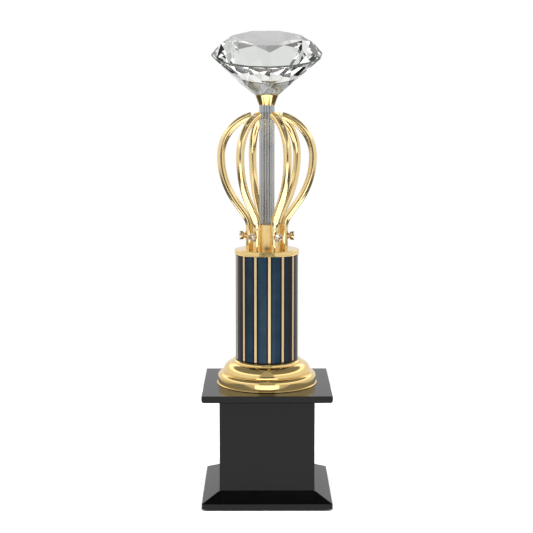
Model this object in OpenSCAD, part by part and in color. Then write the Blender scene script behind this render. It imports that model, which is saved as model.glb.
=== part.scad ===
// Column trophy: a black pedestal, a gold base, a striped column, a six-rib cage and a brilliant-cut stone.
// The origin is the middle of the underside, +Z points up and -Y is the front.

/* [Pedestal] */
// Width of the square foot
foot_w = 91; // [88:1:100]
// Height of the foot's upright edge, felt included
foot_edge_h = 5; // [4:0.5:7]
// Height of the whole foot, felt included
foot_h = 10.7; // [10:0.1:13]
// Width of the square box
box_w = 66.6; // [62:0.2:72]
// Height of the box panels
box_h = 65.5; // [50:0.5:90]
// Thickness of the box panels
panel_t = 6; // [4:0.5:8]
// Width of the square top plate
plate_w = 90.5; // [86:0.5:98]
// Thickness of the top plate
plate_t = 5.3; // [4.5:0.1:8]
// Radius of the plate's rounded lower edges
plate_round = 2.4; // [1:0.1:4]
// Thickness of the felt under the foot
felt_t = 1; // [0.8:0.1:1.5]

/* [Column] */
// Diameter of the column over its foil
column_d = 44.5; // [43:0.1:45]
// Length of the column that shows between base and cap
column_h = 75.8; // [50:0.1:200]
// Thickness of the tube's wall
tube_wall = 1.25; // [1:0.05:2]
// Thickness of the printed foil
foil_t = 0.35; // [0.2:0.05:0.5]
// Height of the gold base up to the column's foot
base_h = 17.6; // [16.5:0.1:18]
// Radius of the gold base's upright rim
base_r = 35.2; // [34.8:0.1:36.5]
// Radius of the cap
cap_r = 23; // [22.9:0.1:24]
// Height of the cap's rim
cap_h = 3.4; // [3:0.1:5]

/* [Cage] */
// Thickness of a rib
rib_d = 5.6; // [4.8:0.1:6]
// Largest radius over the ribs
cage_r = 35.3; // [33:0.1:38]
// Height of the widest point over the cap
cage_belly_h = 65.6; // [62:0.2:75]
// Outer radius of the rib's upper arc
crown_arc_r = 32.3; // [30:0.1:34]
// Outer radius of the rib's lower arc
skirt_arc_r = 57; // [54:0.5:60]
// Lean of the rib where it leaves the lower arc
rib_lean = 36; // [34:0.5:38]
// Radius over the ribs' upright feet
foot_circle_r = 15.1; // [14.8:0.1:16]
// Outer radius of the bend between the lean and the upright foot
bend_r = 12; // [9:0.5:13]
// Radius at which the ribs end beside the pillar
rib_end_r = 10.8; // [10:0.1:13]
// Turn of the cage away from a rib pair square to the front
cage_turn = 4.5; // [0:0.5:10]

/* [Pillar and stone] */
// Diameter over the pillar's reeds
pillar_d = 10.8; // [10:0.1:11]
// Height of the pillar
pillar_h = 83.6; // [80:0.2:90]
// Height of the cup
cup_h = 7.3; // [6:0.1:9]
// Top radius of the cup
cup_top_r = 8.3; // [8.2:0.1:9]
// Diameter of the stone over its girdle corners
stone_d = 77.2; // [70:0.2:80]
// Forward tip of the stone
stone_tilt = 15; // [0:0.5:18]
// Turn of the stone about its own axis
stone_turn = 26; // [0:1:45]

/* [Hidden] */
$fn = 96;
cut = 0.02; // overshoot of cutting shapes past a face

// Levels, from the ground up
box_z = foot_h;
ledge_w = 0.9; // flat of the foot that shows round the box
plate_z = box_z + box_h;
base_z = plate_z + plate_t;
column_z = base_z + base_h;
cap_z = column_z + column_h;
hub_z = cap_z + cap_h;
hub_h = 17.8;
hub_lap = 1.1; // how far the hub comes round the ribs' feet
pillar_z = hub_z + hub_h;
cup_z = pillar_z + pillar_h;
stone_z = cup_z + cup_h;

// Tie rod and its nut
rod_d = 6.35;
rod_hole_r = 3.4;
rod_z = felt_t + 0.4;
rod_grip = 20; // thread held in the pillar
recess_r = 12;
recess_top = 7.2;
washer_r = 9;
washer_t = 1.2;
nut_flats = 11.1;
nut_h = 4.4;

// Gold base: a lip, a rounded rim, a rounded shoulder and a beaded collar at the column
seat_depth = 2; // how deep the column stands in the base
lip_out = 0.8;
lip_h = 0.8;
rim_wall_h = 5.2;
rim_round = 3;
shoulder_in = 4.1; // shoulder's side, in from the rim
shoulder_wall_h = 9.1;
shoulder_round = 6.5;
collar_round = 1.6;
collar_lap = 1; // flat top of the collar round the column
core_r = 32.8;
core_h = 6.4;
core_top_r = 29.3;
core_top_h = 11.9;

// Tube plugs and cap
tube_r = column_d / 2 - foil_t;
plug_r = tube_r - tube_wall;
plug_h = 8;
cap_roof = 1.1;
cap_fit = 0.05; // gap between cap skirt and foil
column_foot = column_z - seat_depth;
column_len = column_h + seat_depth + cap_h - cap_roof;

// Ribs: the centre line in the rib's own plane, as radius and height
rib_n = 6;
rib_set = [0, -8, -7, 0, 0, 0]; // turn of each rib from an even spacing, as fitted
rib_r = rib_d / 2;
foot_r = foot_circle_r - rib_r;
belly_z = hub_z + cage_belly_h;
crown_r = crown_arc_r - rib_r;
crown_c = cage_r - crown_arc_r;
crown_sweep = acos((rib_end_r - crown_c) / crown_r);
skirt_r = skirt_arc_r - rib_r;
skirt_c = cage_r - skirt_arc_r;
lean_top_r = skirt_c + skirt_r * cos(rib_lean);
lean_top_z = belly_z - skirt_r * sin(rib_lean);
corner_z = lean_top_z - (lean_top_r - foot_r) / tan(rib_lean);
turn_r = bend_r + rib_r;
turn_len = turn_r * tan(rib_lean / 2);
bend_z = corner_z - turn_len;
bow_r = rib_r - 0.03; // a little under the foot's radius, so that the bow starts inside the foot
rib_root = 0.5; // length of the bow sunk in the foot
rib_sides = 20;
bend_steps = 6;
skirt_steps = 9;
crown_steps = 15;

// Crystal-headed screws
stud_z = hub_z + 9.6;
shank_r = 1.25;
shank_hole_r = 1.35;
shank_in = 6.5; // radius at which the shank ends inside the hub
seat_r = foot_circle_r - 0.25; // radius of the spot face on the rib
neck_r = 1.8;
neck_gap = 0.1;
neck_len = 1;
claw_r = 3.1;
claw_flare = 1.9;
claw_len = 1.6;
claw_slot = 1.3;
slot_below = 0.5;
chaton_r = 2.5; // girdle radius of a small crystal
chaton_pavilion = 2;
chaton_girdle = 0.35;
chaton_crown = 0.85;
chaton_table = 1.5;
claw_z = neck_len + claw_flare;

// Pillar reeds
reed_n = 12;
flute_r = 0.9;
flute_depth = 0.55;
spigot_len = 11;
cup_lap = 0.2; // cup's foot past the pillar's reeds

// Brilliant cut, as parts of the girdle's radius
girdle_r = stone_d / 2;
table_part = 0.66;
star_part = 0.82;
crown_part = 0.28;
girdle_part = 0.03;
pavilion_part = 0.922;
lower_part = 0.5; // radius at which the lower halves meet, near the culet
facet_n = 8;
// Half width of the flat ground on the tip, measured to the main facets, left to right
flat_r = 8.4;
pavilion_slope = atan(1 / pavilion_part);
tip_drop = flat_r * sqrt(pow(cos(pavilion_slope), 2) - pow(sin(stone_tilt), 2)) / sin(pavilion_slope);
tip_front = tip_drop * tan(pavilion_slope + stone_tilt);
tip_back = tip_drop * tan(pavilion_slope - stone_tilt);
tip_y = (tip_front - tip_back) / 2;

function polar(r, a, z) = [r * cos(a), r * sin(a), z];
function ring(r, z, n, first) = [for (i = [0:n - 1]) polar(r, first + i * 360 / n, z)];

module tie_hole(z, h) {
    translate([0, 0, z - cut]) cylinder(h = h + 2 * cut, r = rod_hole_r);
}

// A square block whose side profile, given as half widths, is the same on all four sides
module square_turned(w) {
    intersection() {
        translate([0, w / 2, 0]) rotate([90, 0, 0]) linear_extrude(w) children();
        translate([-w / 2, 0, 0]) rotate([90, 0, 90]) linear_extrude(w) children();
    }
}

module felt_pad() {
    inset = 3;
    w = foot_w - 2 * inset;
    color("darkslategray") translate([-w / 2, -w / 2, 0]) cube([w, w, felt_t]);
}

module foot_plinth() {
    w = foot_w / 2;
    ledge = box_w / 2 + ledge_w;
    color("#26262a") difference() {
        square_turned(foot_w)
            polygon([[-w, felt_t], [w, felt_t], [w, foot_edge_h], [ledge, foot_h],
                [-ledge, foot_h], [-w, foot_edge_h]]);
        translate([0, 0, felt_t - cut]) cylinder(h = recess_top - felt_t + cut, r = recess_r);
        tie_hole(recess_top, foot_h - recess_top);
    }
}

// One mitred panel; turn 0 is the front
module box_panel(turn) {
    w = box_w / 2;
    inner = w - panel_t;
    color("#2e2e32") rotate([0, 0, turn]) translate([0, 0, box_z])
        linear_extrude(box_h)
            polygon([[-w, -w], [w, -w], [inner, -inner], [-inner, -inner]]);
}

module corner_blocks() {
    block = 10;
    inner = box_w / 2 - panel_t;
    color("burlywood") for (turn = [0:90:270])
        rotate([0, 0, turn])
            translate([inner - block, inner - block, box_z])
            cube([block, block, box_h]);
}

module top_plate() {
    w = plate_w / 2;
    color("#4a4a4c") difference() {
        square_turned(plate_w)
            union() {
                translate([-w, plate_z + plate_round])
                    square([plate_w, plate_t - plate_round]);
                translate([plate_round - w, plate_z])
                    square([plate_w - 2 * plate_round, plate_round + cut]);
                for (side = [-1, 1])
                    translate([side * (w - plate_round), plate_z + plate_round])
                        circle(r = plate_round);
            }
        tie_hole(plate_z, plate_t);
    }
}

module base_core() {
    color("peru") difference() {
        union() {
            translate([0, 0, base_z]) cylinder(h = core_h, r = core_r);
            translate([0, 0, base_z + core_h - cut])
                cylinder(h = core_top_h - core_h + cut, r = core_top_r);
        }
        tie_hole(base_z, core_top_h);
    }
}

module base_shell() {
    rim_z = base_z + rim_wall_h;
    side_r = base_r - shoulder_in;
    side_z = base_z + shoulder_wall_h;
    top_r = side_r - shoulder_round;
    top_z = side_z + shoulder_round;
    collar_r = column_d / 2 + collar_lap;
    color("goldenrod") difference() {
        union() {
            translate([0, 0, base_z]) cylinder(h = lip_h, r = base_r + lip_out);
            translate([0, 0, base_z]) cylinder(h = rim_wall_h + cut, r = base_r);
            translate([0, 0, rim_z]) cylinder(h = rim_round, r = base_r - rim_round);
            rotate_extrude() translate([base_r - rim_round, rim_z])
                intersection() {
                    circle(r = rim_round);
                    square(rim_round);
                }
            translate([0, 0, rim_z]) cylinder(h = side_z - rim_z + cut, r = side_r);
            translate([0, 0, side_z]) cylinder(h = shoulder_round, r = top_r);
            rotate_extrude() translate([top_r, side_z])
                intersection() {
                    circle(r = shoulder_round);
                    square(shoulder_round);
                }
            translate([0, 0, top_z - cut]) cylinder(h = column_z - top_z + cut, r = collar_r);
            rotate_extrude() translate([collar_r, column_z - collar_round]) circle(r = collar_round);
        }
        translate([0, 0, base_z - cut]) cylinder(h = core_h + cut, r = core_r);
        translate([0, 0, base_z]) cylinder(h = core_top_h, r = core_top_r);
        translate([0, 0, column_z - seat_depth])
            cylinder(h = seat_depth + cut, r = column_d / 2);
        tie_hole(base_z, base_h);
    }
}

module column_tube() {
    color("tan") translate([0, 0, column_foot]) difference() {
        cylinder(h = column_len, r = tube_r);
        translate([0, 0, -cut]) cylinder(h = column_len + 2 * cut, r = plug_r);
    }
}

module column_foil() {
    color("#1f3f63") translate([0, 0, column_foot]) difference() {
        cylinder(h = column_len, r = column_d / 2);
        translate([0, 0, -cut]) cylinder(h = column_len + 2 * cut, r = tube_r);
    }
}

module tube_plug(z) {
    color("burlywood") difference() {
        translate([0, 0, z]) cylinder(h = plug_h, r = plug_r);
        tie_hole(z, plug_h);
    }
}

module tube_plug_bottom() {
    tube_plug(column_foot);
}

module tube_plug_top() {
    tube_plug(column_foot + column_len - plug_h);
}

module column_cap() {
    edge = 0.4;
    color("gold") difference() {
        union() {
            translate([0, 0, cap_z]) cylinder(h = cap_h - edge + cut, r = cap_r);
            translate([0, 0, hub_z - edge]) cylinder(h = edge, r1 = cap_r, r2 = cap_r - edge);
        }
        translate([0, 0, cap_z - cut])
            cylinder(h = cap_h - cap_roof + cut, r = column_d / 2 + cap_fit);
        tie_hole(cap_z, cap_h);
    }
}

module cage_hub() {
    color("darkgoldenrod") difference() {
        translate([0, 0, hub_z]) cylinder(h = hub_h, r = foot_r - rib_r + hub_lap);
        for (i = [0:rib_n - 1])
            rotate([0, 0, rib_angle(i)]) {
                translate([foot_r, 0, hub_z - cut]) cylinder(h = hub_h + 2 * cut, r = rib_r);
                stud_bore(shank_r);
            }
        tie_hole(hub_z, hub_h);
    }
}

function rib_angle(i) = i * 360 / rib_n - cage_turn + rib_set[i];

// Radial bore of a screw, from inside the hub to outside the rib
module stud_bore(r) {
    translate([shank_in, 0, stud_z]) rotate([0, 90, 0])
        cylinder(h = foot_circle_r - shank_in + cut, r = r);
}

// Stations of the rib's centre line over its foot: radius, height, slope of the outward normal
function stations() = concat(
    [[foot_r, bend_z - rib_root, 0]],
    [for (a = [0:rib_lean / bend_steps:rib_lean])
        [foot_r + turn_r * (1 - cos(a)), bend_z + turn_r * sin(a), -a]],
    [for (a = [-rib_lean:rib_lean / skirt_steps:-1])
        [skirt_c + skirt_r * cos(a), belly_z + skirt_r * sin(a), a]],
    [for (a = [0:crown_sweep / crown_steps:crown_sweep + 1])
        [crown_c + crown_r * cos(a), belly_z + crown_r * sin(a), a]]);

// One ring of the round bar, square to the centre line
function bar_ring(s) = [for (i = [0:rib_sides - 1])
    let (a = i * 360 / rib_sides, out = bow_r * cos(a))
        [s[0] + out * cos(s[2]), bow_r * sin(a), s[1] + out * sin(s[2])]];

module rib_bow() {
    path = stations();
    last = len(path) - 1;
    sides = rib_sides;
    polyhedron(
        points = [for (s = path) each bar_ring(s)],
        faces = concat(
            [[for (i = [0:sides - 1]) i]],
            [[for (i = [sides - 1:-1:0]) last * sides + i]],
            [for (k = [0:last - 1], i = [0:sides - 1]) let (j = (i + 1) % sides)
                [k * sides + i, (k + 1) * sides + i, (k + 1) * sides + j, k * sides + j]]));
}

// A rib: a bowed round bar on an upright foot that has a screw hole and a spot face
module rib(i) {
    color("gold") rotate([0, 0, rib_angle(i)]) difference() {
        union() {
            translate([foot_r, 0, hub_z]) cylinder(h = bend_z - hub_z, r = rib_r);
            rib_bow();
        }
        stud_bore(shank_hole_r);
        translate([seat_r, 0, stud_z]) rotate([0, 90, 0]) cylinder(h = rib_r, r = neck_r + neck_gap);
    }
}

// Places its children once for each screw, looking out along +X from the seat on the rib
module each_stud() {
    for (i = [0:rib_n - 1])
        rotate([0, 0, rib_angle(i)]) translate([seat_r, 0, stud_z]) rotate([0, 90, 0]) children();
}

module stud_settings() {
    color("silver") each_stud() difference() {
        union() {
            translate([0, 0, shank_in - seat_r]) cylinder(h = seat_r - shank_in + cut, r = shank_r);
            cylinder(h = neck_len + cut, r = neck_r);
            translate([0, 0, neck_len]) cylinder(h = claw_flare, r1 = neck_r, r2 = claw_r);
            translate([0, 0, claw_z - cut]) cylinder(h = claw_len + cut, r = claw_r);
        }
        translate([0, 0, claw_z + chaton_girdle - chaton_pavilion])
            cylinder(h = chaton_pavilion, r1 = 0, r2 = chaton_r);
        translate([0, 0, claw_z + chaton_girdle - cut])
            cylinder(h = claw_len, r = chaton_r);
        for (turn = [0, 90])
            rotate([0, 0, turn]) translate([-claw_slot / 2, -claw_r - cut, claw_z - slot_below])
                cube([claw_slot, 2 * claw_r + 2 * cut, claw_len + slot_below + cut]);
    }
}

module stud_crystals() {
    color("white") each_stud() translate([0, 0, claw_z + chaton_girdle]) {
        translate([0, 0, -chaton_pavilion]) cylinder(h = chaton_pavilion, r1 = 0, r2 = chaton_r);
        cylinder(h = chaton_girdle, r = chaton_r);
        translate([0, 0, chaton_girdle])
            cylinder(h = chaton_crown, r1 = chaton_r, r2 = chaton_table);
    }
}

module pillar() {
    color("#a8a8ae") translate([0, 0, pillar_z]) difference() {
        cylinder(h = pillar_h, r = pillar_d / 2);
        for (i = [0:reed_n - 1])
            rotate([0, 0, i * 360 / reed_n])
                translate([pillar_d / 2 + flute_r - flute_depth, 0, -cut])
                cylinder(h = pillar_h + 2 * cut, r = flute_r);
        translate([0, 0, -cut]) cylinder(h = pillar_h + 2 * cut, r = rod_d / 2);
    }
}

module stone_cup() {
    edge = 0.4;
    color("gold") union() {
        translate([0, 0, cup_z])
            cylinder(h = cup_h - edge + cut, r1 = pillar_d / 2 + cup_lap, r2 = cup_top_r);
        translate([0, 0, stone_z - edge]) cylinder(h = edge, r = cup_top_r);
        translate([0, 0, cup_z - spigot_len]) cylinder(h = spigot_len + cut, r = rod_d / 2);
    }
}

// A round brilliant with its tip at the origin: table, stars, kites, halves, girdle, lower halves, mains
module brilliant() {
    n = facet_n;
    step = 360 / n;
    g = girdle_r;
    low_z = pavilion_part * g;
    top_z = low_z + girdle_part * g;
    star_z = top_z + crown_part * g * (1 - star_part * cos(step / 2)) / (1 - table_part);
    corners = concat(
        ring(table_part * g, top_z + crown_part * g, n, 0),
        ring(star_part * g, star_z, n, step / 2),
        ring(g, top_z, 2 * n, 0),
        ring(g, low_z, 2 * n, 0),
        ring(lower_part * g, lower_part * low_z * cos(step / 2), n, step / 2),
        [[0, 0, 0]]);
    function table(k) = (k + n) % n;
    function star(k) = n + (k + n) % n;
    function upper(k) = 2 * n + (k + 2 * n) % (2 * n);
    function lower(k) = 4 * n + (k + 2 * n) % (2 * n);
    function half(k) = 6 * n + (k + n) % n;
    tip = 7 * n;
    facets = concat(
        [[for (k = [n - 1:-1:0]) table(k)]],
        [for (k = [0:n - 1]) [table(k), table(k + 1), star(k)]],
        [for (k = [0:n - 1]) [table(k), star(k), upper(2 * k), star(k - 1)]],
        [for (k = [0:n - 1]) [star(k), upper(2 * k + 1), upper(2 * k)]],
        [for (k = [0:n - 1]) [star(k), upper(2 * k + 2), upper(2 * k + 1)]],
        [for (k = [0:2 * n - 1]) [upper(k), upper(k + 1), lower(k + 1), lower(k)]],
        [for (k = [0:n - 1]) [lower(2 * k), lower(2 * k + 1), half(k)]],
        [for (k = [0:n - 1]) [lower(2 * k + 1), lower(2 * k + 2), half(k)]],
        [for (k = [0:n - 1]) [lower(2 * k), half(k), tip, half(k - 1)]]);
    polyhedron(points = corners, faces = facets);
}

module crystal_stone() {
    color("#e8f0f4") difference() {
        translate([0, tip_y, stone_z - tip_drop]) rotate([stone_tilt, 0, 0])
            rotate([0, 0, stone_turn]) brilliant();
        translate([-stone_d / 2, -stone_d / 2, stone_z - stone_d]) cube(stone_d);
    }
}

module tie_rod() {
    color("silver") translate([0, 0, rod_z])
        cylinder(h = pillar_z + rod_grip - rod_z, r = rod_d / 2);
}

module tie_washer() {
    color("silver") translate([0, 0, recess_top - washer_t]) difference() {
        cylinder(h = washer_t, r = washer_r);
        translate([0, 0, -cut]) cylinder(h = washer_t + 2 * cut, r = rod_hole_r);
    }
}

module tie_nut() {
    z = recess_top - washer_t - nut_h;
    color("silver") translate([0, 0, z]) difference() {
        cylinder(h = nut_h, r = nut_flats / 2 / cos(30), $fn = 6);
        translate([0, 0, -cut]) cylinder(h = nut_h + 2 * cut, r = rod_d / 2);
    }
}

felt_pad();
foot_plinth();
box_panel(0);  // box_panel_front
box_panel(90);  // box_panel_right
box_panel(180);  // box_panel_back
box_panel(270);  // box_panel_left
corner_blocks();
top_plate();
base_core();
base_shell();
column_tube();
column_foil();
tube_plug_bottom();
tube_plug_top();
column_cap();
cage_hub();
rib(0);  // rib_1
rib(1);  // rib_2
rib(2);  // rib_3
rib(3);  // rib_4
rib(4);  // rib_5
rib(5);  // rib_6
stud_settings();
stud_crystals();
pillar();
stone_cup();
crystal_stone();
tie_rod();
tie_washer();
tie_nut();
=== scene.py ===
import bmesh
import bpy
from math import acos, atan2, cos, degrees, pi, radians, sin, sqrt, tan
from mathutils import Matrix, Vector


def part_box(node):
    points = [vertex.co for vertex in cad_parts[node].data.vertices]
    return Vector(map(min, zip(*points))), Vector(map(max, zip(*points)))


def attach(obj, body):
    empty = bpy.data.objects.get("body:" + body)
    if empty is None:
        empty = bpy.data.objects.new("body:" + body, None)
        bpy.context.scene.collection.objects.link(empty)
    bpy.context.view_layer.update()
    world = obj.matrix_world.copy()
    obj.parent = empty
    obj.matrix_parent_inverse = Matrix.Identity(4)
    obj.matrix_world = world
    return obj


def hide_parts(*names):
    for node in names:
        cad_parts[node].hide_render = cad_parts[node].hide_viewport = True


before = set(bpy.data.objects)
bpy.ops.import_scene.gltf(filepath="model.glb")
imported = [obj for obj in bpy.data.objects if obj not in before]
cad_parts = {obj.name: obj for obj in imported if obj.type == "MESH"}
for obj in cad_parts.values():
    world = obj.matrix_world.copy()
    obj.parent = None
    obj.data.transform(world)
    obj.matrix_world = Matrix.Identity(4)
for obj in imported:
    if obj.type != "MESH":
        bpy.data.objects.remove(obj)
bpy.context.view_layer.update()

# Every size below is in millimetres and becomes metres through MM.
MM = 0.001

# pedestal
FOOT_EDGE_Z = 5
LEDGE_W = 0.9
RECESS_R = 12
RECESS_TOP = 7.2
PANEL_T = 6
PLATE_ROUND = 2.4

# column, gold base and cap
COLUMN_R = 22.25
FOIL_T = 0.35
SEAT_DEPTH = 2
BASE_R = 35.2
LIP_ROUND = 0.4
RIM_WALL_H = 5.2
RIM_ROUND = 3
SHOULDER_IN = 4.1
SHOULDER_WALL_H = 9.1
SHOULDER_ROUND = 6.5
COLLAR_ROUND = 1.6
COLLAR_LAP = 1
CORE_R = 32.8
CORE_H = 6.4
CORE_TOP_R = 29.3
CORE_TOP_H = 11.9
ROD_HOLE_R = 3.4
ROD_R = 3.175
CAP_ROOF = 1.1
CAP_FIT = 0.05

# cage
RIB_N = 6
RIB_R = 2.8
FOOT_CENTRE_R = 12.3
HUB_R = 10.6
CAGE_R = 35.3
CROWN_ARC_R = 32.3
SKIRT_ARC_R = 57
BEND_ARC_R = 14.8
RIB_END_R = 10.8
RIB_LEAN = radians(36)
CAGE_TURN = 4.5
# turn of each rib from an even spacing, as fitted
RIB_SET = (0, -8, -7, 0, 0, 0)
BELLY_H = 65.6

# studs
STUD_H = 9.6
STUD_SEAT_R = 14.85
SPOT_FACE_R = 1.9
SHANK_R = 1.25
SHANK_END_R = 6.5
CLAW_R = 3.1
CLAW_TIP = 4.5
GEM_R = 2.5

# pillar and stone
PILLAR_R = 5.4
REED_VALLEY_R = 4.85
REED_N = 12
STONE_D = 77.2
STONE_TILT = 15
STONE_TURN = 26
TIP_FLAT_R = 8.4

# studio
FLOOR_R = 340


def low_z(node):
    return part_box(node)[0].z / MM


def high_z(node):
    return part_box(node)[1].z / MM


FOOT_Z = low_z("foot_plinth")
BOX_Z = low_z("box_panel_front")
PLATE_Z = low_z("top_plate")
BASE_Z = low_z("base_shell")
COLUMN_Z = high_z("base_shell")
CAP_Z = low_z("column_cap")
HUB_Z = low_z("cage_hub")
PILLAR_Z = low_z("pillar")
CUP_Z = high_z("pillar")
STONE_Z = high_z("stone_cup")
BELLY_Z = HUB_Z + BELLY_H


# ---------------------------------------------------------------- camera

def place_camera():
    bpy.ops.object.camera_add(
        location=(-0.00409, -0.87582, 0.28253),
        rotation=(radians(90 - 7.610), 0, radians(-0.250)),
    )
    camera = bpy.context.object
    camera.name = "studio_camera"
    camera.data.lens = 83.62
    camera.data.sensor_width = 36
    bpy.context.scene.camera = camera


# ---------------------------------------------------------------- bench tools

def deselect():
    bpy.ops.object.select_all(action="DESELECT")


def start(name):
    """Names the primitive just added and fixes its place in its mesh."""
    piece = bpy.context.object
    piece.name = name
    piece.data.name = name
    bpy.ops.object.transform_apply(location=True, rotation=True, scale=True)
    return piece


def edit_on(mode="VERT"):
    bpy.ops.object.mode_set(mode="EDIT")
    bpy.ops.mesh.select_mode(type=mode)


def edit_off():
    bpy.ops.object.mode_set(mode="OBJECT")


def pick(kind, test):
    """Selects in edit mode the verts, edges or faces that pass the test."""
    mesh = bmesh.from_edit_mesh(bpy.context.object.data)
    for face in mesh.faces:
        face.select_set(False)
    for edge in mesh.edges:
        edge.select_set(False)
    for vert in mesh.verts:
        vert.select_set(False)
    for item in getattr(mesh, kind):
        if test(item):
            item.select_set(True)
    bmesh.update_edit_mesh(bpy.context.object.data)


def close_up(fill=True):
    """Merges doubles, fills open ends and turns the faces outward."""
    bpy.ops.mesh.select_all(action="SELECT")
    bpy.ops.mesh.remove_doubles(threshold=1e-6)
    if fill:
        bpy.ops.mesh.select_all(action="SELECT")
        bpy.ops.mesh.fill_holes(sides=0)
    bpy.ops.mesh.select_all(action="SELECT")
    bpy.ops.mesh.normals_make_consistent(inside=False)


def soften(piece, width, segments=2, angle=35):
    """Rounds the sharp edges of a piece."""
    bpy.context.view_layer.objects.active = piece
    bpy.ops.object.modifier_add(type="BEVEL")
    bevel = piece.modifiers[-1]
    bevel.width = width * MM
    bevel.segments = segments
    bevel.limit_method = "ANGLE"
    bevel.angle_limit = radians(angle)
    bevel.use_clamp_overlap = True
    bpy.ops.object.modifier_apply(modifier=bevel.name)


def clean(piece):
    """Takes out the slivers that cutting and rounding leave behind."""
    bpy.context.view_layer.objects.active = piece
    edit_on()
    bpy.ops.mesh.select_all(action="SELECT")
    bpy.ops.mesh.remove_doubles(threshold=0.004 * MM)
    bpy.ops.mesh.dissolve_degenerate(threshold=0.004 * MM)
    edit_off()


def smooth(piece, angle=30):
    deselect()
    piece.select_set(True)
    bpy.context.view_layer.objects.active = piece
    bpy.ops.object.shade_smooth_by_angle(angle=radians(angle))


def even_out(piece):
    """Keeps wide flat faces looking flat beside their rounded edges."""
    bpy.context.view_layer.objects.active = piece
    bpy.ops.object.modifier_add(type="WEIGHTED_NORMAL")
    weighting = piece.modifiers[-1]
    weighting.keep_sharp = True
    bpy.ops.object.modifier_apply(modifier=weighting.name)


def saw(piece, cutter):
    """Takes the cutter's shape out of a piece and throws the cutter away."""
    bpy.context.view_layer.objects.active = piece
    bpy.ops.object.modifier_add(type="BOOLEAN")
    boolean = piece.modifiers[-1]
    boolean.operation = "DIFFERENCE"
    boolean.solver = "EXACT"
    boolean.object = cutter
    bpy.ops.object.modifier_apply(modifier=boolean.name)
    bpy.data.objects.remove(cutter)


def bore(piece, radius, bottom, top):
    """Drills a round hole up the middle of a piece, between two heights."""
    deselect()
    bpy.ops.mesh.primitive_cylinder_add(
        vertices=48,
        radius=radius * MM,
        depth=(top - bottom) * MM,
        location=(0, 0, (top + bottom) / 2 * MM),
    )
    drill = start("drill")
    saw(piece, drill)


def turned(name, profile, sides=128, closed=True):
    """Draws a ring along a profile of (radius, height) points."""
    deselect()
    radius, height = profile[0]
    bpy.ops.mesh.primitive_circle_add(vertices=sides, radius=radius * MM, location=(0, 0, height * MM))
    piece = start(name)
    edit_on("EDGE")
    bpy.ops.mesh.select_all(action="SELECT")
    for next_radius, next_height in profile[1:]:
        bpy.ops.mesh.extrude_region_move(
            TRANSFORM_OT_translate={"value": (0, 0, (next_height - height) * MM)}
        )
        ratio = next_radius / radius
        bpy.ops.transform.resize(value=(ratio, ratio, 1))
        radius = next_radius
        height = next_height
    close_up(fill=not closed)
    edit_off()
    return piece


def arc(centre_r, centre_z, radius, first, last, steps):
    """Points of an arc in a profile, between two angles in degrees."""
    points = []
    for i in range(steps + 1):
        a = radians(first + (last - first) * i / steps)
        points.append((centre_r + radius * cos(a), centre_z + radius * sin(a)))
    return points


def swing(steps, angle, centre, axis, copies=False):
    """Sweeps what is selected round an axis, right-handed for a positive angle."""
    bpy.ops.mesh.spin(
        steps=steps,
        dupli=copies,
        angle=-angle,
        center=[value * MM for value in centre],
        axis=axis,
    )


def drawn_outline(name, first, arcs, copies, bottom, height):
    """Draws an outline from arcs (centre x, centre y, angle, steps), repeats it round and raises it."""
    deselect()
    bpy.ops.mesh.primitive_plane_add(size=MM, location=(first[0] * MM, first[1] * MM, bottom * MM))
    piece = start(name)
    edit_on("VERT")
    bpy.ops.mesh.select_all(action="SELECT")
    bpy.ops.mesh.merge(type="CENTER")
    bpy.ops.mesh.select_all(action="SELECT")
    for x, y, angle, steps in arcs:
        swing(steps, radians(angle), (x, y, 0), (0, 0, 1))
    bpy.ops.mesh.select_all(action="SELECT")
    swing(copies - 1, 2 * pi * (copies - 1) / copies, (0, 0, 0), (0, 0, 1), copies=True)
    bpy.ops.mesh.select_all(action="SELECT")
    bpy.ops.mesh.remove_doubles(threshold=5e-6)
    bpy.ops.mesh.select_all(action="SELECT")
    bpy.ops.mesh.edge_face_add()
    bpy.ops.mesh.extrude_region_move(TRANSFORM_OT_translate={"value": (0, 0, height * MM)})
    close_up(fill=False)
    edit_off()
    return piece


def copy_of(piece, name):
    """A copy with its own mesh."""
    deselect()
    piece.select_set(True)
    bpy.context.view_layer.objects.active = piece
    bpy.ops.object.duplicate(linked=False)
    twin = bpy.context.object
    twin.name = name
    twin.data.name = name
    return twin


def set_in_place(piece, location=(0, 0, 0), turns=((0, 0, 0),)):
    """Turns a piece by each set of angles in degrees, moves it, and keeps the place in its mesh."""
    for turn in turns:
        deselect()
        piece.select_set(True)
        bpy.context.view_layer.objects.active = piece
        piece.rotation_euler = [radians(a) for a in turn]
        bpy.ops.object.transform_apply(location=True, rotation=True, scale=True)
    piece.location = [value * MM for value in location]
    bpy.ops.object.transform_apply(location=True, rotation=True, scale=True)


def fit(piece, node, material):
    """Gives a piece its finish, hangs it on the root body and hides the CAD node it stands for."""
    piece.data.materials.clear()
    piece.data.materials.append(material)
    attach(piece, "root")
    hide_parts(node)


# ---------------------------------------------------------------- shader tools

def add(tree, kind, **settings):
    node = tree.nodes.new(kind)
    for key, value in settings.items():
        setattr(node, key, value)
    return node


def wire(tree, source, target):
    tree.links.new(source, target)


def new_material(name):
    material = bpy.data.materials.new(name)
    material.use_nodes = True
    tree = material.node_tree
    return material, tree, tree.nodes["Principled BSDF"]


def new_group(name, inputs, outputs):
    tree = bpy.data.node_groups.new(name, "ShaderNodeTree")
    for label, value in inputs:
        socket = tree.interface.new_socket(label, in_out="INPUT", socket_type="NodeSocketFloat")
        socket.default_value = value
    for label, kind in outputs:
        tree.interface.new_socket(label, in_out="OUTPUT", socket_type=kind)
    entry = add(tree, "NodeGroupInput")
    leave = add(tree, "NodeGroupOutput")
    return tree, entry, leave


def use_group(tree, group, **values):
    node = add(tree, "ShaderNodeGroup")
    node.node_tree = group
    for key, value in values.items():
        node.inputs[key.replace("_", " ")].default_value = value
    return node


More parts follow.
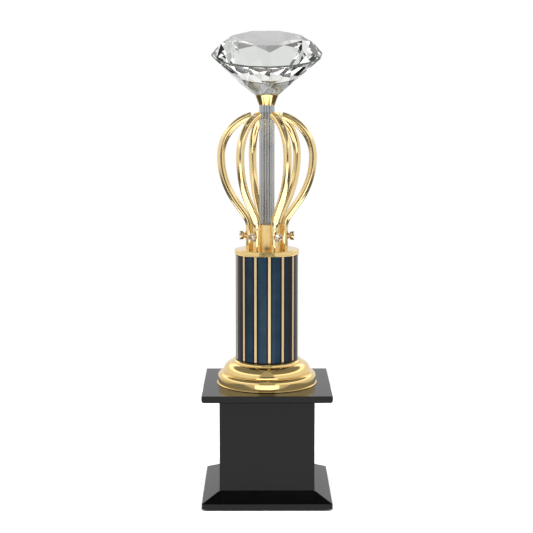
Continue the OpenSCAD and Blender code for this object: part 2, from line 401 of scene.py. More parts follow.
def math_node(tree, operation, first, second=None):
    node = add(tree, "ShaderNodeMath", operation=operation)
    for socket, value in zip(node.inputs, (first, second)):
        if value is None:
            continue
        if isinstance(value, (int, float)):
            socket.default_value = value
        else:
            wire(tree, value, socket)
    return node.outputs[0]


def colour_mix(tree, share, first, second):
    node = add(tree, "ShaderNodeMix", data_type="RGBA")
    if isinstance(share, (int, float)):
        node.inputs[0].default_value = share
    else:
        wire(tree, share, node.inputs[0])
    for socket, value in ((node.inputs[6], first), (node.inputs[7], second)):
        if isinstance(value, tuple):
            socket.default_value = (*value, 1)
        else:
            wire(tree, value, socket)
    return node.outputs[2]


def ranged(tree, value, low, high, new_low, new_high):
    node = add(tree, "ShaderNodeMapRange")
    wire(tree, value, node.inputs["Value"])
    node.inputs["From Min"].default_value = low
    node.inputs["From Max"].default_value = high
    node.inputs["To Min"].default_value = new_low
    node.inputs["To Max"].default_value = new_high
    return node.outputs["Result"]


def vary(tree, shader, label, mask, low, high, first, second):
    """Lets a mask move one of the shader's values between two limits."""
    wire(tree, ranged(tree, mask, low, high, first, second), shader.inputs[label])


def handling_group():
    """Faint smears and rub marks: a mask for roughness and a height for bump."""
    tree, entry, leave = new_group(
        "handling marks",
        (("Smear Scale", 60), ("Grain Scale", 900)),
        (("Smear", "NodeSocketFloat"), ("Grain", "NodeSocketFloat")),
    )
    place = add(tree, "ShaderNodeTexCoord")
    smear = add(tree, "ShaderNodeTexNoise")
    smear.inputs["Detail"].default_value = 4
    smear.inputs["Roughness"].default_value = 0.6
    smear.inputs["Distortion"].default_value = 0.4
    wire(tree, place.outputs["Object"], smear.inputs["Vector"])
    wire(tree, entry.outputs["Smear Scale"], smear.inputs["Scale"])
    grain = add(tree, "ShaderNodeTexNoise")
    grain.inputs["Detail"].default_value = 2
    wire(tree, place.outputs["Object"], grain.inputs["Vector"])
    wire(tree, entry.outputs["Grain Scale"], grain.inputs["Scale"])
    wire(tree, smear.outputs["Fac"], leave.inputs["Smear"])
    wire(tree, grain.outputs["Fac"], leave.inputs["Grain"])
    return tree


def drawn_group():
    """Fine lines drawn along the height of a piece."""
    tree, entry, leave = new_group(
        "drawn lines",
        (("Across", 1500), ("Along", 18)),
        (("Lines", "NodeSocketFloat"),),
    )
    place = add(tree, "ShaderNodeTexCoord")
    split = add(tree, "ShaderNodeSeparateXYZ")
    wire(tree, place.outputs["Object"], split.inputs[0])
    join = add(tree, "ShaderNodeCombineXYZ")
    wire(tree, math_node(tree, "MULTIPLY", split.outputs[0], entry.outputs["Across"]), join.inputs[0])
    wire(tree, math_node(tree, "MULTIPLY", split.outputs[1], entry.outputs["Across"]), join.inputs[1])
    wire(tree, math_node(tree, "MULTIPLY", split.outputs[2], entry.outputs["Along"]), join.inputs[2])
    lines = add(tree, "ShaderNodeTexNoise")
    lines.inputs["Scale"].default_value = 1
    lines.inputs["Detail"].default_value = 3
    wire(tree, join.outputs[0], lines.inputs["Vector"])
    wire(tree, lines.outputs["Fac"], leave.inputs["Lines"])
    return tree


def add_bump(tree, shader, height, strength, distance):
    bump = add(tree, "ShaderNodeBump")
    bump.inputs["Strength"].default_value = strength
    bump.inputs["Distance"].default_value = distance
    wire(tree, height, bump.inputs["Height"])
    wire(tree, bump.outputs["Normal"], shader.inputs["Normal"])


def gold_material(name, colour, deep_colour, rough):
    """Polished gold plate over lacquer, a little uneven."""
    material, tree, shader = new_material(name)
    marks = use_group(tree, HANDLING, Smear_Scale=45, Grain_Scale=420)
    tint = ranged(tree, marks.outputs["Smear"], 0.35, 0.7, 0, 1)
    wire(tree, colour_mix(tree, tint, colour, deep_colour), shader.inputs["Base Color"])
    vary(tree, shader, "Roughness", marks.outputs["Smear"], 0.3, 0.75, rough * 0.7, rough * 1.5)
    shader.inputs["Metallic"].default_value = 1
    add_bump(tree, shader, marks.outputs["Grain"], 0.04, 0.0002)
    return material


def lacquer_material():
    """Black satin lacquer with a faint orange peel."""
    material, tree, shader = new_material("black lacquer")
    marks = use_group(tree, HANDLING, Smear_Scale=38, Grain_Scale=700)
    tint = ranged(tree, marks.outputs["Smear"], 0.3, 0.7, 0, 1)
    black = colour_mix(tree, tint, (0.0012, 0.0012, 0.0012), (0.002, 0.002, 0.002))
    wire(tree, black, shader.inputs["Base Color"])
    vary(tree, shader, "Roughness", marks.outputs["Smear"], 0.3, 0.7, 0.1, 0.16)
    shader.inputs["IOR"].default_value = 1.5
    shader.inputs["Specular IOR Level"].default_value = 0.19
    add_bump(tree, shader, marks.outputs["Grain"], 0.04, 0.0003)
    return material


def metal_material(name, colour, second_colour, rough, across, along, strength):
    """Plated or satin metal with drawn lines."""
    material, tree, shader = new_material(name)
    lines = use_group(tree, DRAWN, Across=across, Along=along)
    tint = ranged(tree, lines.outputs["Lines"], 0.3, 0.7, 0, 1)
    wire(tree, colour_mix(tree, tint, colour, second_colour), shader.inputs["Base Color"])
    vary(tree, shader, "Roughness", lines.outputs["Lines"], 0.3, 0.7, rough * 0.8, rough * 1.25)
    shader.inputs["Metallic"].default_value = 1
    add_bump(tree, shader, lines.outputs["Lines"], strength, 0.0002)
    return material


def foil_material():
    """Printed foil: midnight blue panels, thin gold stripes between black borders, and painted shade
    where it is seen aslant.
    """
    material, tree, shader = new_material("printed foil")
    place = add(tree, "ShaderNodeTexCoord")
    split = add(tree, "ShaderNodeSeparateXYZ")
    wire(tree, place.outputs["Object"], split.inputs[0])
    turn = math_node(tree, "ARCTAN2", split.outputs[1], split.outputs[0])
    stripes = 14
    first_stripe = radians(-90 + 4.3)
    past_first = math_node(tree, "SUBTRACT", turn, first_stripe)
    share = math_node(tree, "MULTIPLY", past_first, stripes / (2 * pi))
    # distance from the nearest stripe's middle, in shares of the pitch, 0 to 0.5
    off = math_node(tree, "PINGPONG", share, 0.5)
    gold = ranged(tree, off, 0.080, 0.092, 1, 0)
    border = ranged(tree, off, 0.19, 0.235, 1, 0)
    speckle = add(tree, "ShaderNodeTexNoise")
    speckle.inputs["Scale"].default_value = 650
    speckle.inputs["Detail"].default_value = 3
    wire(tree, place.outputs["Object"], speckle.inputs["Vector"])
    cloud = add(tree, "ShaderNodeTexNoise")
    cloud.inputs["Scale"].default_value = 90
    cloud.inputs["Detail"].default_value = 3
    wire(tree, place.outputs["Object"], cloud.inputs["Vector"])
    clouded = ranged(tree, cloud.outputs["Fac"], 0.35, 0.65, 0, 1)
    speckled = ranged(tree, speckle.outputs["Fac"], 0.4, 0.75, 0, 0.5)
    blue = colour_mix(tree, clouded, (0.007, 0.026, 0.050), (0.012, 0.040, 0.070))
    blue = colour_mix(tree, speckled, blue, (0.015, 0.045, 0.080))
    panel = colour_mix(tree, border, blue, (0.006, 0.008, 0.012))
    # painted shade: the blue is darkened toward black where the foil is seen aslant, standing in for the
    # dimmer reflections at the column's sides
    aslant = add(tree, "ShaderNodeLayerWeight")
    aslant.inputs["Blend"].default_value = 0.5
    painted_side_shade = ranged(tree, aslant.outputs["Facing"], 0.16, 0.34, 0, 0.93)
    panel = colour_mix(tree, painted_side_shade, panel, (0.006, 0.004, 0.008))
    colour = colour_mix(tree, gold, panel, (0.74, 0.54, 0.30))
    # the foil is near black, stripes and panels alike, up to a millimetre above the column's foot
    foot_darkening = ranged(tree, split.outputs[2], (COLUMN_Z + 0.6) * MM, (COLUMN_Z + 1.0) * MM, 1, 0)
    colour = colour_mix(tree, foot_darkening, colour, (0.004, 0.004, 0.005))
    wire(tree, colour, shader.inputs["Base Color"])
    shader.inputs["Metallic"].default_value = 0.85
    vary(tree, shader, "Roughness", speckle.outputs["Fac"], 0.3, 0.7, 0.28, 0.4)
    shader.inputs["Coat Weight"].default_value = 0.25
    shader.inputs["Coat Roughness"].default_value = 0.12
    add_bump(tree, shader, speckle.outputs["Fac"], 0.08, 0.0002)
    return material


def crystal_material(name, colour, rough):
    """Clear cut glass; a trace of polishing haze varies its gloss."""
    material, tree, shader = new_material(name)
    marks = use_group(tree, HANDLING, Smear_Scale=80, Grain_Scale=500)
    shader.inputs["Base Color"].default_value = (*colour, 1)
    vary(tree, shader, "Roughness", marks.outputs["Smear"], 0.4, 0.8, rough, rough + 0.01)
    shader.inputs["IOR"].default_value = 1.55
    shader.inputs["Transmission Weight"].default_value = 1
    return material


def soft_material(name, colour, second_colour, scale, rough, strength):
    """Felt, card or ground glass: two tones of noise and a matt surface."""
    material, tree, shader = new_material(name)
    marks = use_group(tree, HANDLING, Smear_Scale=scale, Grain_Scale=scale * 12)
    tint = ranged(tree, marks.outputs["Grain"], 0.3, 0.7, 0, 1)
    wire(tree, colour_mix(tree, tint, colour, second_colour), shader.inputs["Base Color"])
    vary(tree, shader, "Roughness", marks.outputs["Smear"], 0.3, 0.7, rough - 0.05, rough + 0.05)
    add_bump(tree, shader, marks.outputs["Grain"], strength, 0.0005)
    return material


def wood_material():
    """Bare pale wood with long grain."""
    material, tree, shader = new_material("plain wood")
    lines = use_group(tree, DRAWN, Across=420, Along=25)
    tint = ranged(tree, lines.outputs["Lines"], 0.35, 0.65, 0, 1)
    colour = colour_mix(tree, tint, (0.50, 0.33, 0.17), (0.34, 0.20, 0.09))
    wire(tree, colour, shader.inputs["Base Color"])
    vary(tree, shader, "Roughness", lines.outputs["Lines"], 0.3, 0.7, 0.55, 0.7)
    add_bump(tree, shader, lines.outputs["Lines"], 0.25, 0.0004)
    return material


# ---------------------------------------------------------------- pedestal

def make_foot(lacquer):
    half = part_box("foot_plinth")[1].x / MM
    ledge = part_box("box_panel_front")[1].x / MM + LEDGE_W
    top = high_z("foot_plinth")
    deselect()
    bpy.ops.mesh.primitive_cube_add(size=1, location=(0, 0, (FOOT_Z + FOOT_EDGE_Z) / 2 * MM))
    bpy.context.object.scale = (2 * half * MM, 2 * half * MM, (FOOT_EDGE_Z - FOOT_Z) * MM)
    foot = start("foot")
    edit_on("FACE")
    pick("faces", lambda face: face.normal.z > 0.9)
    bpy.ops.mesh.extrude_region_move(TRANSFORM_OT_translate={"value": (0, 0, (top - FOOT_EDGE_Z) * MM)})
    bpy.ops.transform.resize(value=(ledge / half, ledge / half, 1))
    edit_off()
    bore(foot, RECESS_R, FOOT_Z - 1, RECESS_TOP)
    bore(foot, ROD_HOLE_R, FOOT_Z, top + 1)
    soften(foot, 0.25, angle=20)
    smooth(foot, 60)
    even_out(foot)
    fit(foot, "foot_plinth", lacquer)


def make_panels(lacquer):
    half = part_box("box_panel_front")[1].x / MM
    inner = half - PANEL_T
    middle_y = -(half + inner) / 2 * MM
    height = PLATE_Z - BOX_Z
    deselect()
    bpy.ops.mesh.primitive_cube_add(size=1, location=(0, middle_y, (BOX_Z + height / 2) * MM))
    bpy.context.object.scale = (2 * half * MM, PANEL_T * MM, height * MM)
    panel = start("panel_front")
    edit_on("VERT")
    pick("verts", lambda vert: vert.co.y > middle_y)
    bpy.ops.transform.resize(value=(inner / half, 1, 1))
    edit_off()
    soften(panel, 0.2, segments=3)
    smooth(panel, 60)
    even_out(panel)
    for name, turn in (("right", 90), ("back", 180), ("left", 270)):
        side = copy_of(panel, "panel_" + name)
        set_in_place(side, turns=((0, 0, turn),))
        fit(side, "box_panel_" + name, lacquer)
    fit(panel, "box_panel_front", lacquer)


def make_plate(lacquer):
    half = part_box("top_plate")[1].x / MM
    top = high_z("top_plate")
    deselect()
    bpy.ops.mesh.primitive_cube_add(size=1, location=(0, 0, (PLATE_Z + top) / 2 * MM))
    bpy.context.object.scale = (2 * half * MM, 2 * half * MM, (top - PLATE_Z) * MM)
    plate = start("plate")
    edit_on("EDGE")
    pick("edges", lambda edge: all(vert.co.z < (PLATE_Z + 1) * MM for vert in edge.verts))
    bpy.ops.mesh.bevel(offset=PLATE_ROUND * MM, segments=8, affect="EDGES")
    edit_off()
    bore(plate, ROD_HOLE_R, PLATE_Z - 1, top + 1)
    soften(plate, 0.25, segments=3, angle=50)
    smooth(plate, 60)
    even_out(plate)
    fit(plate, "top_plate", lacquer)


# ---------------------------------------------------------------- column

def make_base(gold):
    z = BASE_Z
    lip_r = BASE_R + LIP_ROUND
    rim_top = z + RIM_WALL_H + RIM_ROUND
    side_r = BASE_R - SHOULDER_IN
    # underside and lip
    profile = [(CORE_R, z), (lip_r - 0.1, z)]
    profile += arc(lip_r, z + LIP_ROUND, LIP_ROUND, -80, 80, 8)
    # rim, with a small fillet at the shoulder's foot
    profile += [(BASE_R, z + 2 * LIP_ROUND + 0.1)]
    profile += arc(BASE_R - RIM_ROUND, z + RIM_WALL_H, RIM_ROUND, 0, 88, 14)
    profile += [(side_r + 0.12, rim_top + 0.02), (side_r, rim_top + 0.2)]
    # shoulder, collar and seat
    profile += arc(side_r - SHOULDER_ROUND, z + SHOULDER_WALL_H, SHOULDER_ROUND, 0, 86, 22)
    profile += arc(COLUMN_R + COLLAR_LAP, COLUMN_Z - COLLAR_ROUND, COLLAR_ROUND, -10, 90, 10)
    profile += [
        (COLUMN_R, COLUMN_Z),
        (COLUMN_R, COLUMN_Z - SEAT_DEPTH),
        (ROD_HOLE_R, COLUMN_Z - SEAT_DEPTH),
        (ROD_HOLE_R, z + CORE_TOP_H),
        (CORE_TOP_R, z + CORE_TOP_H),
        (CORE_TOP_R, z + CORE_H),
        (CORE_R, z + CORE_H),
        (CORE_R, z),
    ]
    base = turned("gold_base", profile, sides=160)
    soften(base, 0.12, angle=50)
    smooth(base)
    even_out(base)
    fit(base, "base_shell", gold)


def make_foil(foil):
    bottom = low_z("column_foil")
    top = high_z("column_foil")
    inner = COLUMN_R - FOIL_T
    profile = [(COLUMN_R, bottom), (COLUMN_R, top), (inner, top), (inner, bottom), (COLUMN_R, bottom)]
    wrap = turned("foil_wrap", profile, sides=192)
    soften(wrap, 0.08, segments=1, angle=60)
    smooth(wrap)
    fit(wrap, "column_foil", foil)


def make_cap(gold):
    cap_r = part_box("column_cap")[1].x / MM
    bore_r = COLUMN_R + CAP_FIT
    roof_z = HUB_Z - CAP_ROOF
    edge = 0.25
    band_h = 0.7
    step = 0.12
    corner = 0.4
    profile = [(bore_r, CAP_Z), (cap_r - edge, CAP_Z), (cap_r, CAP_Z + edge), (cap_r, CAP_Z + band_h)]
    profile += [(cap_r - step, CAP_Z + band_h + step), (cap_r - step, HUB_Z - corner - 0.15)]
    profile += arc(cap_r - step - corner, HUB_Z - corner, corner, 0, 90, 4)
    profile += [(ROD_HOLE_R, HUB_Z), (ROD_HOLE_R, roof_z), (bore_r, roof_z), (bore_r, CAP_Z)]
    cap = turned("column_lid", profile, sides=160)
    smooth(cap)
    fit(cap, "column_cap", gold)


# ---------------------------------------------------------------- cage

def rib_angle(i):
    """Degrees from +X to the i-th rib, counted from 0."""
    return i * 360 / RIB_N - CAGE_TURN + RIB_SET[i]


def make_hub(gold):
    """A round boss with a groove for each rib's foot."""
    height = PILLAR_Z - HUB_Z
    middle_z = (HUB_Z + PILLAR_Z) / 2 * MM
    groove_r = RIB_R + 0.03
    deselect()
    bpy.ops.mesh.primitive_cylinder_add(
        vertices=120, radius=HUB_R * MM, depth=height * MM, location=(0, 0, middle_z)
    )
    hub = start("hub")
    for i in range(RIB_N):
        angle = rib_angle(i)
        x = FOOT_CENTRE_R * cos(radians(angle)) * MM
        y = FOOT_CENTRE_R * sin(radians(angle)) * MM
        deselect()
        bpy.ops.mesh.primitive_cylinder_add(
            vertices=48, radius=groove_r * MM, depth=2 * height * MM, location=(x, y, middle_z)
        )
        saw(hub, start("groove_cutter"))
    bore(hub, ROD_HOLE_R, HUB_Z - 1, PILLAR_Z + 1)
    soften(hub, 0.15, angle=40)
    clean(hub)
    smooth(hub)
    fit(hub, "cage_hub", gold)


def make_ribs(gold):
    """One round bar is run up, bent out and over, then copied five times."""
    skirt_r = SKIRT_ARC_R - RIB_R
    skirt_x = CAGE_R - SKIRT_ARC_R
    crown_r = CROWN_ARC_R - RIB_R
    crown_x = CAGE_R - CROWN_ARC_R
    lean_x = skirt_x + skirt_r * cos(RIB_LEAN)
    lean_z = BELLY_Z - skirt_r * sin(RIB_LEAN)
    corner_z = lean_z - (lean_x - FOOT_CENTRE_R) / tan(RIB_LEAN)
    bend_z = corner_z - BEND_ARC_R * tan(RIB_LEAN / 2)
    bend_end_x = FOOT_CENTRE_R + BEND_ARC_R * (1 - cos(RIB_LEAN))
    bend_end_z = bend_z + BEND_ARC_R * sin(RIB_LEAN)
    crown_sweep = acos((RIB_END_R - crown_x) / crown_r)
    deselect()
    bpy.ops.mesh.primitive_circle_add(
        vertices=40, radius=RIB_R * MM, location=(FOOT_CENTRE_R * MM, 0, HUB_Z * MM)
    )
    rib = start("rib_bar_1")
    edit_on("EDGE")
    bpy.ops.mesh.select_all(action="SELECT")
    bpy.ops.mesh.extrude_region_move(TRANSFORM_OT_translate={"value": (0, 0, (bend_z - HUB_Z) * MM)})
    swing(10, RIB_LEAN, (FOOT_CENTRE_R + BEND_ARC_R, 0, bend_z), (0, 1, 0))
    bpy.ops.mesh.extrude_region_move(
        TRANSFORM_OT_translate={"value": ((lean_x - bend_end_x) * MM, 0, (lean_z - bend_end_z) * MM)}
    )
    swing(18, RIB_LEAN, (skirt_x, 0, BELLY_Z), (0, -1, 0))
    swing(32, crown_sweep, (crown_x, 0, BELLY_Z), (0, -1, 0))
    close_up()
    edit_off()
    # spot face for the screw's collar
    deselect()
    facer_len = 2
    bpy.ops.mesh.primitive_cylinder_add(
        vertices=40,
        radius=SPOT_FACE_R * MM,
        depth=facer_len * MM,
        location=((STUD_SEAT_R + facer_len / 2) * MM, 0, (HUB_Z + STUD_H) * MM),
        rotation=(0, pi / 2, 0),
    )
    saw(rib, start("spot_facer"))
    soften(rib, 0.35, segments=3, angle=50)
    smooth(rib, 40)
    for i in range(1, RIB_N):
        twin = copy_of(rib, "rib_bar_%d" % (i + 1))
        set_in_place(twin, turns=((0, 0, rib_angle(i)),))
        fit(twin, "rib_%d" % (i + 1), gold)
    set_in_place(rib, turns=((0, 0, rib_angle(0)),))
    fit(rib, "rib_1", gold)


# ---------------------------------------------------------------- cut stones

def grind(corner, second, third, inside):
    """Grinds one facet: everything beyond the plane of three points goes."""
    a = Vector(corner)
    normal = (Vector(second) - a).cross(Vector(third) - a).normalized()
    if normal.dot(Vector(inside) - a) > 0:
        normal = -normal
    bpy.ops.mesh.select_all(action="SELECT")
    bpy.ops.mesh.bisect(plane_co=a * MM, plane_no=normal, use_fill=True, clear_outer=True, threshold=1e-7)


def cut_brilliant(name, girdle_r, deep, girdle_h, crown_h, table_part):
    """A round brilliant with its tip at the origin, ground facet by facet from a sixteen-sided blank."""
    n = 8
    step = 2 * pi / n
    star_part = (1 + table_part) / 2 - 0.01
    lower_part = 0.5
    top = deep + girdle_h
    full = top + crown_h
    star_z = top + crown_h * (1 - star_part * cos(step / 2)) / (1 - table_part)

    def at(part, k, z):
        return (part * girdle_r * cos(k * step), part * girdle_r * sin(k * step), z)

    deselect()
    bpy.ops.mesh.primitive_cylinder_add(
        vertices=2 * n, radius=girdle_r * MM, depth=full * MM, location=(0, 0, full / 2 * MM)
    )
    # the primitive's first corner lies on +Y, a quarter turn from +X, which is a whole number of sides
    stone = start(name)
    edit_on("VERT")
    middle = (0, 0, deep)
    tip = (0, 0, 0)
    for k in range(n):
        half = at(lower_part, k + 0.5, lower_part * deep * cos(step / 2))
        before = at(1, k, deep)
        between = at(1, k + 0.5, deep)
        after = at(1, k + 1, deep)
        grind(before, between, half, middle)
        grind(between, after, half, middle)
        grind(before, half, tip, middle)
        star = at(star_part, k + 0.5, star_z)
        grind(star, at(1, k, top), at(1, k + 0.5, top), middle)
        grind(star, at(1, k + 0.5, top), at(1, k + 1, top), middle)
        grind(at(table_part, k, full), star, at(1, k, top), middle)
    for k in range(n):
        star = at(star_part, k + 0.5, star_z)
        grind(at(table_part, k, full), at(table_part, k + 1, full), star, middle)
    close_up(fill=False)
    edit_off()
    return stone


def make_stone(crystal, ground_edge):
    girdle_r = STONE_D / 2
    deep_part = 0.922
    girdle_part = 0.03
    crown_part = 0.28
    table_part = 0.66
    stone = cut_brilliant(
        "stone", girdle_r, deep_part * girdle_r, girdle_part * girdle_r, crown_part * girdle_r, table_part
    )
    # the tip is ground flat, level with the cup
    slope = atan2(1, deep_part)
    drop = TIP_FLAT_R * sqrt(cos(slope) ** 2 - sin(radians(STONE_TILT)) ** 2) / sin(slope)
    front = drop * tan(slope + radians(STONE_TILT))
    back = drop * tan(slope - radians(STONE_TILT))
    set_in_place(
        stone,
        location=(0, (front - back) / 2, STONE_Z - drop),
        turns=((0, 0, STONE_TURN), (STONE_TILT, 0, 0)),
    )
    edit_on("VERT")
    bpy.ops.mesh.select_all(action="SELECT")
    bpy.ops.mesh.bisect(
        plane_co=(0, 0, STONE_Z * MM), plane_no=(0, 0, 1), use_fill=True, clear_inner=True, threshold=1e-7
    )
    close_up(fill=False)
    edit_off()
    fit(stone, "crystal_stone", crystal)
    # the girdle is left as it came from the wheel
    stone.data.materials.append(ground_edge)
    axis = Vector((0, -sin(radians(STONE_TILT)), cos(radians(STONE_TILT))))
    for face in stone.data.polygons:
        if abs(face.normal.dot(axis)) < 0.02:
            face.material_index = 1


def make_studs(gold, crystal):
    """One claw setting and one small stone, each made once and copied round the cage."""
    neck_r = 2.0
    claw_in_r = CLAW_R - 0.55
    profile = [
        (SHANK_R, SHANK_END_R - STUD_SEAT_R),
        (SHANK_R, 0),
        (neck_r, 0.02),
        (neck_r, 0.5),
        (neck_r - 0.15, 0.8),
        (neck_r, 1.05),
        (2.75, 1.8),
        (3.05, 2.5),
        (CLAW_R, 3.1),
        (CLAW_R, CLAW_TIP),
        (claw_in_r, CLAW_TIP),
        (claw_in_r, 3.2),
        (0.3, 1.5),
    ]
    setting = turned("setting", profile, sides=64, closed=False)
    slot_w = 1.5
    slot_h = 2.8
    slot_z = 3.9
    for turn in (45, 135):
        deselect()
        bpy.ops.mesh.primitive_cube_add(size=1, location=(0, 0, slot_z * MM))
        bpy.context.object.scale = (slot_w * MM, 8 * MM, slot_h * MM)
        bpy.context.object.rotation_euler = (0, 0, radians(turn))
        saw(setting, start("slot_saw"))
    soften(setting, 0.15, segments=2, angle=40)
    clean(setting)
    smooth(setting, 40)
    gem_deep = 2.0
    girdle_h = 0.35
    girdle_z = 3.27
    crown_h = 0.85
    table_part = 0.6
    gem = cut_brilliant("stud_gem", GEM_R, gem_deep, girdle_h, crown_h, table_part)
    set_in_place(gem, location=(0, 0, girdle_z - gem_deep))
    kinds = (
        (setting, "stud_settings", "gold", gold),
        (gem, "stud_crystals", "crystal", crystal),
    )
    for i in range(RIB_N):
        angle = rib_angle(i)
        x = STUD_SEAT_R * cos(radians(angle))
        y = STUD_SEAT_R * sin(radians(angle))
        for part, node, slot, material in kinds:
            twin = copy_of(part, "%s_%d_set" % (part.name, i + 1))
            set_in_place(twin, location=(x, y, HUB_Z + STUD_H), turns=((0, 90, 0), (0, 0, angle)))
            fit(twin, node, material)
    bpy.data.objects.remove(setting)
    bpy.data.objects.remove(gem)


# ---------------------------------------------------------------- pillar and cup

def make_pillar(silver):
    half = pi / REED_N
    meet_x = REED_VALLEY_R * cos(half)
    meet_y = REED_VALLEY_R * sin(half)
    centre = (PILLAR_R ** 2 - REED_VALLEY_R ** 2) / (2 * (PILLAR_R - meet_x))
    sweep = 2 * degrees(atan2(meet_y, meet_x - centre))
    arcs = ((centre, 0, sweep, 10),)
    pillar = drawn_outline("pillar_rod", (meet_x, -meet_y), arcs, REED_N, PILLAR_Z, CUP_Z - PILLAR_Z)
    bore(pillar, ROD_R, PILLAR_Z - 1, CUP_Z + 1)
    smooth(pillar, 50)
    fit(pillar, "pillar", silver)


def make_cup(gold):
    top_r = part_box("stone_cup")[1].x / MM
    bottom = low_z("stone_cup")
    profile = [(ROD_R, bottom), (ROD_R, CUP_Z), (PILLAR_R + 0.1, CUP_Z)]
    profile += [(PILLAR_R + 0.2, CUP_Z + 0.2), (top_r - 0.1, STONE_Z - 0.5)]
    profile += [(top_r, STONE_Z - 0.3), (top_r, STONE_Z)]
    cup = turned("cup", profile, sides=96, closed=False)
    soften(cup, 0.08, angle=40)
    smooth(cup)
    fit(cup, "stone_cup", gold)


# ---------------------------------------------------------------- studio

def soft_light(name, location, target, size, energy):
    bpy.ops.object.light_add(type="AREA", location=location)
    light = bpy.context.object
    light.name = name
    light.data.shape = "RECTANGLE"
    light.data.size = size[0]
    light.data.size_y = size[1]
    light.data.energy = energy
    light.visible_camera = False
    direction = Vector(target) - Vector(location)
    light.rotation_euler = direction.to_track_quat("-Z", "Y").to_euler()
    return light


def grey_ramp(tree, value, stops):
    """A ramp of greys over a value from -1 to 1."""
    node = add(tree, "ShaderNodeValToRGB")
    wire(tree, ranged(tree, value, -1, 1, 0, 1), node.inputs[0])
    ramp = node.color_ramp
    ramp.elements.remove(ramp.elements[1])
    element = ramp.elements[0]
    for i, (position, tone) in enumerate(stops):
        if i > 0:
            element = ramp.elements.new((position + 1) / 2)
        element.position = (position + 1) / 2
        element.color = (tone, tone, tone, 1)
    return node.outputs[0]


def make_world():
    """A white tent with an open top, an opening for the lens and a lit card below it."""
    world = bpy.data.worlds.new("white studio")
    bpy.context.scene.world = world
    world.use_nodes = True
    tree = world.node_tree
    shade = tree.nodes["Background"]
    place = add(tree, "ShaderNodeTexCoord")
    split = add(tree, "ShaderNodeSeparateXYZ")
    wire(tree, place.outputs["Generated"], split.inputs[0])
    east, north, up = split.outputs
    # -1 towards the camera, 1 away from it
    east_squared = math_node(tree, "MULTIPLY", east, east)
    north_squared = math_node(tree, "MULTIPLY", north, north)
    level = math_node(tree, "SQRT", math_node(tree, "ADD", east_squared, north_squared))
    facing = math_node(tree, "DIVIDE", north, math_node(tree, "MAXIMUM", level, 0.001))
    # the opening for the lens, wider below the horizon
    wide = ranged(tree, facing, -0.90, -0.87, 1, 0)
    narrow = ranged(tree, facing, -0.955, -0.935, 1, 0)
    below = ranged(tree, up, -0.09, -0.07, 1, 0)
    lens_side = math_node(tree, "MAXIMUM", narrow, math_node(tree, "MULTIPLY", wide, below))
    # sine of the angle above the horizon, and how bright the studio is there
    front_stops = (
        (-1, 2.0), (-0.155, 2.0), (-0.135, 0.04), (0.07, 0.04), (0.18, 0.40), (0.60, 0.42), (1, 0.4)
    )
    tent_stops = (
        (-1, 0.06), (-0.34, 0.10), (-0.25, 0.38), (-0.15, 0.85), (0.34, 0.85),
        (0.40, 1.5), (0.52, 1.5), (0.60, 0.25), (1, 0.2),
    )
    front = grey_ramp(tree, up, front_stops)
    tent = grey_ramp(tree, up, tent_stops)
    studio = colour_mix(tree, lens_side, tent, front)
    # the open top of the tent, a little behind the middle
    over_north = math_node(tree, "MULTIPLY", north, 0.36)
    over = math_node(tree, "ADD", over_north, math_node(tree, "MULTIPLY", up, 0.933))
    studio = colour_mix(tree, ranged(tree, over, 0.94, 0.96, 0, 1), studio, (0.01, 0.01, 0.01))
    ray = add(tree, "ShaderNodeLightPath")
    final = colour_mix(tree, ray.outputs["Is Camera Ray"], studio, (1.0, 1.0, 1.0))
    wire(tree, final, shade.inputs["Color"])
    shade.inputs["Strength"].default_value = 1.0


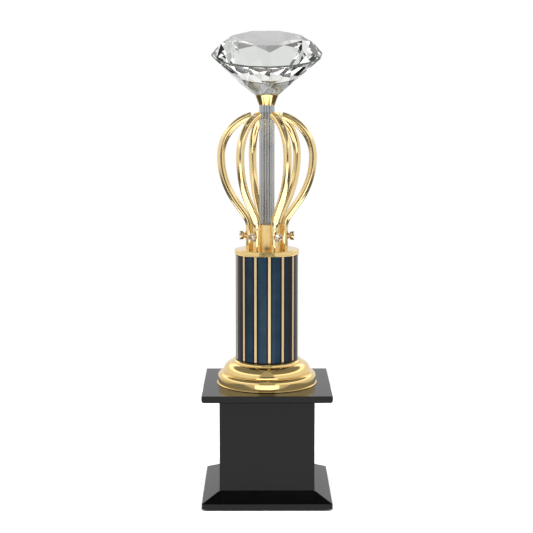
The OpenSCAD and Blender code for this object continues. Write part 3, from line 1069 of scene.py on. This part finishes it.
def make_studio():
    deselect()
    bpy.ops.mesh.primitive_circle_add(
        vertices=96, radius=FLOOR_R * MM, fill_type="NGON", location=(0, 0, -0.2 * MM)
    )
    floor = start("floor")
    material, _, shader = new_material("pale floor")
    shader.inputs["Base Color"].default_value = (0.92, 0.92, 0.92, 1)
    shader.inputs["Roughness"].default_value = 0.9
    shader.inputs["Specular IOR Level"].default_value = 0.1
    floor.data.materials.append(material)
    make_world()
    for name, side in (("left box", -1), ("right box", 1)):
        light = soft_light(name, (side * 0.9, -0.5, 1.1), (0, 0, 0), (0.9, 0.9), 26)
        light.visible_glossy = False
        light.visible_transmission = False
    bpy.context.scene.view_settings.view_transform = "Standard"


place_camera()
HANDLING = handling_group()
DRAWN = drawn_group()
lacquer = lacquer_material()
gold = gold_material("gold plate", (0.95, 0.71, 0.31), (0.92, 0.66, 0.26), 0.1)
rib_gold = gold_material("pale gold plate", (0.95, 0.75, 0.40), (0.93, 0.71, 0.35), 0.15)
hub_gold = gold_material("deep gold plate", (0.95, 0.70, 0.32), (0.92, 0.65, 0.27), 0.35)
stud_gold = gold_material("champagne plate", (0.80, 0.64, 0.42), (0.70, 0.54, 0.34), 0.16)
silver = metal_material("satin silver", (0.50, 0.52, 0.55), (0.48, 0.50, 0.53), 0.12, 100, 2, 0)
zinc = metal_material("zinc steel", (0.60, 0.60, 0.58), (0.50, 0.50, 0.50), 0.35, 700, 60, 0.1)
foil = foil_material()
crystal = crystal_material("cut crystal", (0.86, 0.88, 0.85), 0.0)
gem_crystal = crystal_material("small crystal", (1.0, 0.97, 0.96), 0.12)
edge_crystal = soft_material("ground edge", (0.05, 0.06, 0.05), (0.09, 0.10, 0.085), 60, 0.45, 0.05)
felt = soft_material("dark felt", (0.012, 0.020, 0.016), (0.035, 0.048, 0.040), 120, 0.92, 0.6)
card = soft_material("brown card", (0.36, 0.25, 0.15), (0.28, 0.19, 0.11), 60, 0.8, 0.2)
wood = wood_material()

make_foot(lacquer)
make_panels(lacquer)
make_plate(lacquer)
make_base(gold)
make_foil(foil)
make_cap(gold)
make_hub(hub_gold)
make_ribs(rib_gold)
make_studs(stud_gold, gem_crystal)
make_pillar(silver)
make_cup(gold)
make_stone(crystal, edge_crystal)

INNER = {
    "felt_pad": felt,
    "corner_blocks": wood,
    "base_core": wood,
    "column_tube": card,
    "tube_plug_bottom": wood,
    "tube_plug_top": wood,
    "tie_rod": zinc,
    "tie_washer": zinc,
    "tie_nut": zinc,
}
for name, material in INNER.items():
    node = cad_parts[name]
    node.data.materials.clear()
    node.data.materials.append(material)

make_studio()

deselect()
